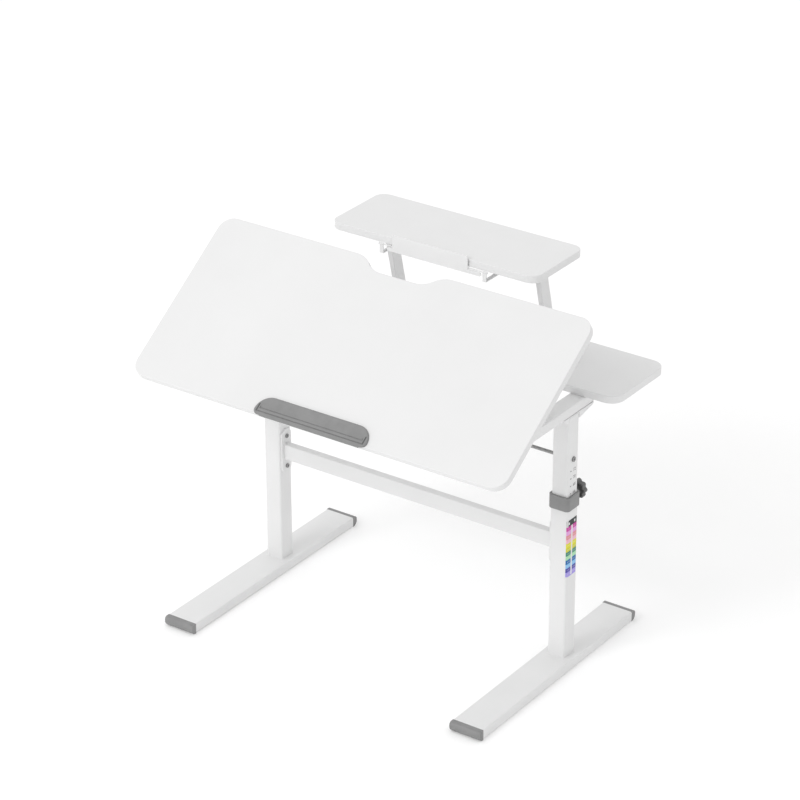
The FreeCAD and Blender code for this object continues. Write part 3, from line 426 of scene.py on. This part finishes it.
def groove(distance, size):
    """A rounded groove: its depth at a distance from its line."""
    half, depth = size
    if distance >= half:
        return 0.0
    return depth * 0.5 * (1 + math.cos(math.pi * distance / half))


def ramp(amount, length):
    """0 to 1 over a length."""
    return min(max(amount / length, 0), 1)


def ledge_height(x, s):
    """Rounded rim, a front bead, a tray line that turns up at its ends, and a slot at each end."""
    inside = edge_distance(x, s)
    height = LEDGE_RISE
    if inside < RIM:
        height = RIM_FOOT + (LEDGE_RISE - RIM_FOOT) * math.sqrt(max(1 - (1 - inside / RIM) ** 2, 0))
    tray = math.hypot(max(abs(x) - TRAY_X, 0), s - TRAY_S)
    turned_up = math.hypot(abs(x) - TRAY_X, max(TRAY_S - s, s - TRAY_END_S, 0))
    line = math.hypot(max(abs(x) - SLOT_X, 0), s - LINE_S)
    slot = math.hypot(abs(x) - SLOT_X, max(LINE_S - s, s - SLOT_END_S, 0))
    dish = TRAY_DISH * ramp(s - TRAY_S, 2.0) * ramp(TRAY_X - abs(x), 2.0) * ramp(inside - DISH_INSET, 6.0)
    cuts = max(groove(min(tray, turned_up), TRAY_GROOVE), groove(line, LINE_GROOVE),
               groove(slot, SLOT_GROOVE))
    return height - dish - cuts


def ledge_stations():
    """Places across the ledge, closer together where its ends are round."""
    coarse = int(LEDGE_FINE_FROM / LEDGE_COARSE_STEP)
    fine = int((LEDGE_HALF - LEDGE_FINE_FROM) / LEDGE_FINE_STEP) + 1
    half = [i * LEDGE_COARSE_STEP for i in range(coarse)]
    half += [LEDGE_FINE_FROM + i * LEDGE_FINE_STEP for i in range(fine)]
    half = [x for x in half if x < LEDGE_TIP] + [LEDGE_TIP]
    return [-x for x in reversed(half) if x > 0] + half


def ledge_section(x):
    """The closed outline of the ledge at one place across: its top, then its underside and apron.

    The underside keeps a hair above the board, and its points stay apart where the apron ends.
    """
    front, rear = ledge_limits(x)
    stations = [front + (rear - front) * j / LEDGE_ROWS for j in range(LEDGE_ROWS + 1)]
    section = [(s, ledge_height(x, s)) for s in stations]
    apron = APRON * ramp(APRON_HALF - abs(x), 2.0)
    inner = max(front + 0.1, -0.15)
    lip = inner - front
    section += [(rear, 0.05), (inner, 0.05), (inner, 0.04 - apron), (front + 0.3 * lip, 0.03 - apron),
                (front + 0.06 * lip, 1.0 - apron)]
    return section


def make_ledge():
    sections = []
    for x in ledge_stations():
        sections.append([on_board(x * MM, s * MM, rise * MM) for s, rise in ledge_section(x)])
    mesh = skin_rings("pencil_rest", sections)
    sharpen(mesh, 50)
    add_piece("pencil_rest", mesh, "tilting_top", "grey_rubber", replaces=["pencil_ledge"])


make_ledge()


# --------------------------------------------------------------------------- printing on the posts
STICKER_ROUND = 5.3 * MM
STICKER_WRAP = math.radians(57)
STICKER_ARC = STICKER_ROUND * STICKER_WRAP
STICKER_FLAT = 35 * MM
PRINT_LIFT = 0.06 * MM
TICK_LIFT = 0.1 * MM
PATCH_STEPS = 12
HEADER_BANDS = 1.5
# Ends of the two columns as shares of the sticker's width.
COLUMN_GAP = (0.46, 0.60)
TICKS = 4
TICK_WIDE = 0.8 * MM
TICK_SHORT = 0.9 * MM
TICK_TALL = 1.6 * MM
HEADER_MARK_HALF = 2.5 * MM


def sticker_point(low, high, along, lift, z):
    """A place on the sticker: how far from its front edge, round the corner, above its face."""
    hub = Vector((high.x - STICKER_ROUND, low.y + STICKER_ROUND * math.sin(STICKER_WRAP), 0))
    if along >= STICKER_ARC:
        return (high.x + lift, hub.y + along - STICKER_ARC, z)
    angle = (STICKER_ARC - along) / STICKER_ROUND
    size = STICKER_ROUND + lift
    return (hub.x + size * math.cos(angle), hub.y - size * math.sin(angle), z)


def print_patches(name, patches, lift, material):
    """One printed piece made of patches (start, end, low, high) that follow the sticker's face."""
    low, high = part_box("growth_chart_label")
    points = []
    faces = []
    for start, end, z0, z1 in patches:
        first = len(points)
        for i in range(PATCH_STEPS + 1):
            along = start + (end - start) * i / PATCH_STEPS
            points += [sticker_point(low, high, along, lift, z) for z in (z0, z1)]
        for i in range(PATCH_STEPS):
            k = first + 2 * i
            faces.append((k, k + 2, k + 3, k + 1))
    mesh = mesh_from(name, points, faces, smooth=False)
    add_piece(name, mesh, "base", "printed_label", material)


def make_chart_print():
    """Two columns of colour bands under a dark header, on the sticker of the right post."""
    low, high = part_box("growth_chart_label")
    wide = STICKER_FLAT + STICKER_ARC
    bottom = low.z + 2.5 * MM
    top = high.z - 0.5 * MM
    step = (top - bottom) / (len(BANDS) + HEADER_BANDS)
    first, last = 0.2 * MM, wide - 0.4 * MM
    columns = ((first, wide * COLUMN_GAP[0]), (wide * COLUMN_GAP[1], last))
    bands = []
    ticks = []
    for start, end in columns:
        for index in range(len(BANDS)):
            z = bottom + step * index
            bands.append((start, end, z, z + step))
            level = z + step * 0.5
            for k in range(TICKS):
                place = start + (end - start) * (0.22 + 0.17 * k)
                tall = TICK_SHORT if (index + k) % 3 else TICK_TALL
                ticks.append((place, place + TICK_WIDE, level - tall, level + tall))
        middle = (start + end) / 2
        ticks.append((middle - HEADER_MARK_HALF, middle + HEADER_MARK_HALF,
                      top - step * 1.1, top - step * 0.5))
    bands.append((first, last, top - HEADER_BANDS * step, top))
    bands.append((first, last, low.z + 0.3 * MM, bottom))
    print_patches("chart_bands", bands, PRINT_LIFT, band_material(bottom, step))
    print_patches("chart_ticks", ticks, TICK_LIFT, FINISHES["printed_label"])


SCALE_ROWS = 12
SCALE_TOP = 499.0 * MM
SCALE_STEP = 18.7 * MM
SCALE_FIRST = 72
DIGIT_SIZE = 11.0 * MM
DIGIT_SHIFT = 6.0 * MM
INK_LIFT = 0.04 * MM
# Corners of the tick beside each number, millimetres from the middle of the face.
TICK_CORNERS = ((-11.0, -1.0), (-6.0, -1.0), (-6.0, 1.0), (-11.0, 1.0))


def number_mesh(name, number):
    """A flat mesh of a number, centred on the origin."""
    text = bpy.data.curves.new(name, "FONT")
    text.body = str(number)
    text.size = DIGIT_SIZE
    text.align_x = "CENTER"
    text.align_y = "CENTER"
    holder = bpy.data.objects.new(name, text)
    bpy.context.scene.collection.objects.link(holder)
    bpy.context.view_layer.update()
    mesh = bpy.data.meshes.new_from_object(holder)
    bpy.data.objects.remove(holder)
    return mesh


def make_height_scale():
    """Printed height numbers with ticks, on the outer face of the right inner post."""
    low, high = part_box("right_inner_post")
    upright = Matrix(((0, 0, 1), (1, 0, 0), (0, 1, 0))).to_4x4()
    for row in range(SCALE_ROWS):
        name = f"right_height_mark_{row}"
        mesh = number_mesh(name, SCALE_FIRST - 2 * row)
        work = bmesh.new()
        work.from_mesh(mesh)
        for vert in work.verts:
            vert.co.x += DIGIT_SHIFT
        work.faces.new([work.verts.new((x * MM, y * MM, 0)) for x, y in TICK_CORNERS])
        centre = Vector((high.x + INK_LIFT, (low.y + high.y) / 2, SCALE_TOP - SCALE_STEP * row))
        bmesh.ops.transform(work, matrix=Matrix.Translation(centre) @ upright, verts=work.verts)
        work.to_mesh(mesh)
        work.free()
        add_piece(name, mesh, "upper_frame", "white_steel", INK)


make_chart_print()
make_height_scale()


# -------------------------------------------------------------------------------------- weld beads
BEAD_SIDES = 8
BEAD_RIPPLE = 0.10
BEAD_RIPPLE_TURN = 2.1
BEAD_STEP = 1.6 * MM
CORNER_STEPS = 6
FOOT_BEAD = 1.5 * MM
SADDLE_BEAD = 1.2 * MM


def bead_loop(path, radius, name, body):
    """A small rippled weld bead that follows a closed path of (point, outward) pairs."""
    points = []
    faces = []
    count = len(path)
    up = Vector((0, 0, 1))
    for index, (point, outward) in enumerate(path):
        size = radius * (1 + BEAD_RIPPLE * math.sin(index * BEAD_RIPPLE_TURN))
        for step in range(BEAD_SIDES):
            angle = 2 * math.pi * step / BEAD_SIDES
            offset = outward * math.cos(angle) + up * math.sin(angle)
            points.append(tuple(point + offset * size))
    for i in range(count):
        here, there = i * BEAD_SIDES, (i + 1) % count * BEAD_SIDES
        for j in range(BEAD_SIDES):
            k = (j + 1) % BEAD_SIDES
            faces.append((here + j, here + k, there + k, there + j))
    mesh = mesh_from(name, points, faces)
    add_piece(name, mesh, body, "white_steel")


def square_path(centre, half, corner, height):
    """Points and outward directions round a square with rounded corners."""
    path = []
    straight = half - corner
    for quarter in range(4):
        turn = Matrix.Rotation(quarter * math.pi / 2, 3, "Z")
        count = max(int(2 * straight / BEAD_STEP), 2)
        for i in range(count):
            spot = Vector((half, -straight + 2 * straight * i / count, 0))
            path.append((turn @ spot, turn @ Vector((1, 0, 0))))
        for i in range(CORNER_STEPS):
            angle = math.pi / 2 * i / CORNER_STEPS
            outward = Vector((math.cos(angle), math.sin(angle), 0))
            path.append((turn @ (Vector((straight, straight, 0)) + outward * corner), turn @ outward))
    base = Vector((centre.x, centre.y, height))
    return [(base + spot, outward) for spot, outward in path]


def make_welds():
    """Beads where the outer posts stand on the feet and where the saddles sit on the inner posts."""
    for side in SIDES:
        low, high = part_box(f"{side}_outer_post")
        path = square_path((low + high) / 2, (high.x - low.x) / 2, 5 * MM, low.z)
        bead_loop(path, FOOT_BEAD, f"{side}_foot_weld", "base")
        low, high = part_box(f"{side}_inner_post")
        path = square_path((low + high) / 2, (high.x - low.x) / 2 - 0.4 * MM, 4 * MM, high.z - 1.0 * MM)
        bead_loop(path, SADDLE_BEAD, f"{side}_saddle_weld", "upper_frame")


make_welds()


# ------------------------------------------------------------------------------ floor, light, camera
FLOOR_HALF = 40.0
# How strongly the surrounding white shines on the left, and on the right.
GLOW_LEFT = 1.0
GLOW_RIGHT = 0.80
LIGHT_TARGET = Vector((0, 0, 0.5))


def make_floor():
    corners = [(x * FLOOR_HALF, y * FLOOR_HALF, 0) for x, y in ((-1, -1), (1, -1), (1, 1), (-1, 1))]
    mesh = mesh_from("floor", corners, [(0, 1, 2, 3)])
    surface = Surface("floor_paper")
    surface.color(surface.mix(surface.noise(3.0, 3.0), grey(0.92), grey(0.94)))
    surface.roughness(surface.noise(8.0, 2.0), 0.8, 0.9)
    surface.shader.inputs["Emission Color"].default_value = (1, 1, 1, 1)
    surface.shader.inputs["Emission Strength"].default_value = 0.08
    surface.shader.inputs["Specular IOR Level"].default_value = 0.0
    mesh.materials.append(surface.material)
    floor = bpy.data.objects.new("floor", mesh)
    bpy.context.scene.collection.objects.link(floor)


def make_light(name, place, size, power):
    """A round soft light that points at the middle of the desk."""
    data = bpy.data.lights.new(name, "AREA")
    data.shape = "DISK"
    data.size = size
    data.energy = power
    light = bpy.data.objects.new(name, data)
    bpy.context.scene.collection.objects.link(light)
    light.location = place
    light.rotation_euler = (LIGHT_TARGET - Vector(place)).to_track_quat("-Z", "Y").to_euler()


def make_stage():
    """A pale floor, an even white surrounding and one large soft light from the front."""
    make_floor()
    world = bpy.data.worlds.new("studio")
    world.use_nodes = True
    background = world.node_tree.nodes["Background"]
    background.inputs["Color"].default_value = (1, 1, 1, 1)
    tree = world.node_tree
    place = tree.nodes.new("ShaderNodeTexCoord").outputs["Generated"]
    axes = tree.nodes.new("ShaderNodeSeparateXYZ")
    tree.links.new(place, axes.inputs[0])
    fall = tree.nodes.new("ShaderNodeMapRange")
    for key, value in (("From Min", 0), ("From Max", 1), ("To Min", GLOW_LEFT), ("To Max", GLOW_RIGHT)):
        fall.inputs[key].default_value = value
    tree.links.new(axes.outputs["X"], fall.inputs["Value"])
    tree.links.new(fall.outputs[0], background.inputs["Strength"])
    bpy.context.scene.world = world
    make_light("key_softbox", (-1.6, -6.0, 5.2), 3.0, 150)
    scene = bpy.context.scene
    scene.view_settings.view_transform = "Standard"
    scene.view_settings.look = "None"


# Where the camera stands, seen from the point it looks at.
CAMERA_TARGET = Vector((-0.13724, 0.20762, 0.45967))
CAMERA_AZIMUTH = math.radians(35.12)
CAMERA_ELEVATION = math.radians(26.58)
CAMERA_ROLL = math.radians(-0.15)
CAMERA_DISTANCE = 7.5369
CAMERA_LENS = 145.31


def make_camera():
    away = Vector((math.sin(CAMERA_AZIMUTH) * math.cos(CAMERA_ELEVATION),
                   -math.cos(CAMERA_AZIMUTH) * math.cos(CAMERA_ELEVATION),
                   math.sin(CAMERA_ELEVATION)))
    level = Vector((math.cos(CAMERA_AZIMUTH), math.sin(CAMERA_AZIMUTH), 0))
    upright = away.cross(level)
    right = level * math.cos(CAMERA_ROLL) + upright * math.sin(CAMERA_ROLL)
    up = away.cross(right)
    data = bpy.data.cameras.new("camera")
    data.lens = CAMERA_LENS
    data.sensor_width = 36
    data.clip_end = 200
    camera = bpy.data.objects.new("camera", data)
    bpy.context.scene.collection.objects.link(camera)
    camera.matrix_world = Matrix.Translation(CAMERA_TARGET + away * CAMERA_DISTANCE) @ Matrix(
        (right, up, away)).transposed().to_4x4()
    bpy.context.scene.camera = camera


make_stage()
make_camera()
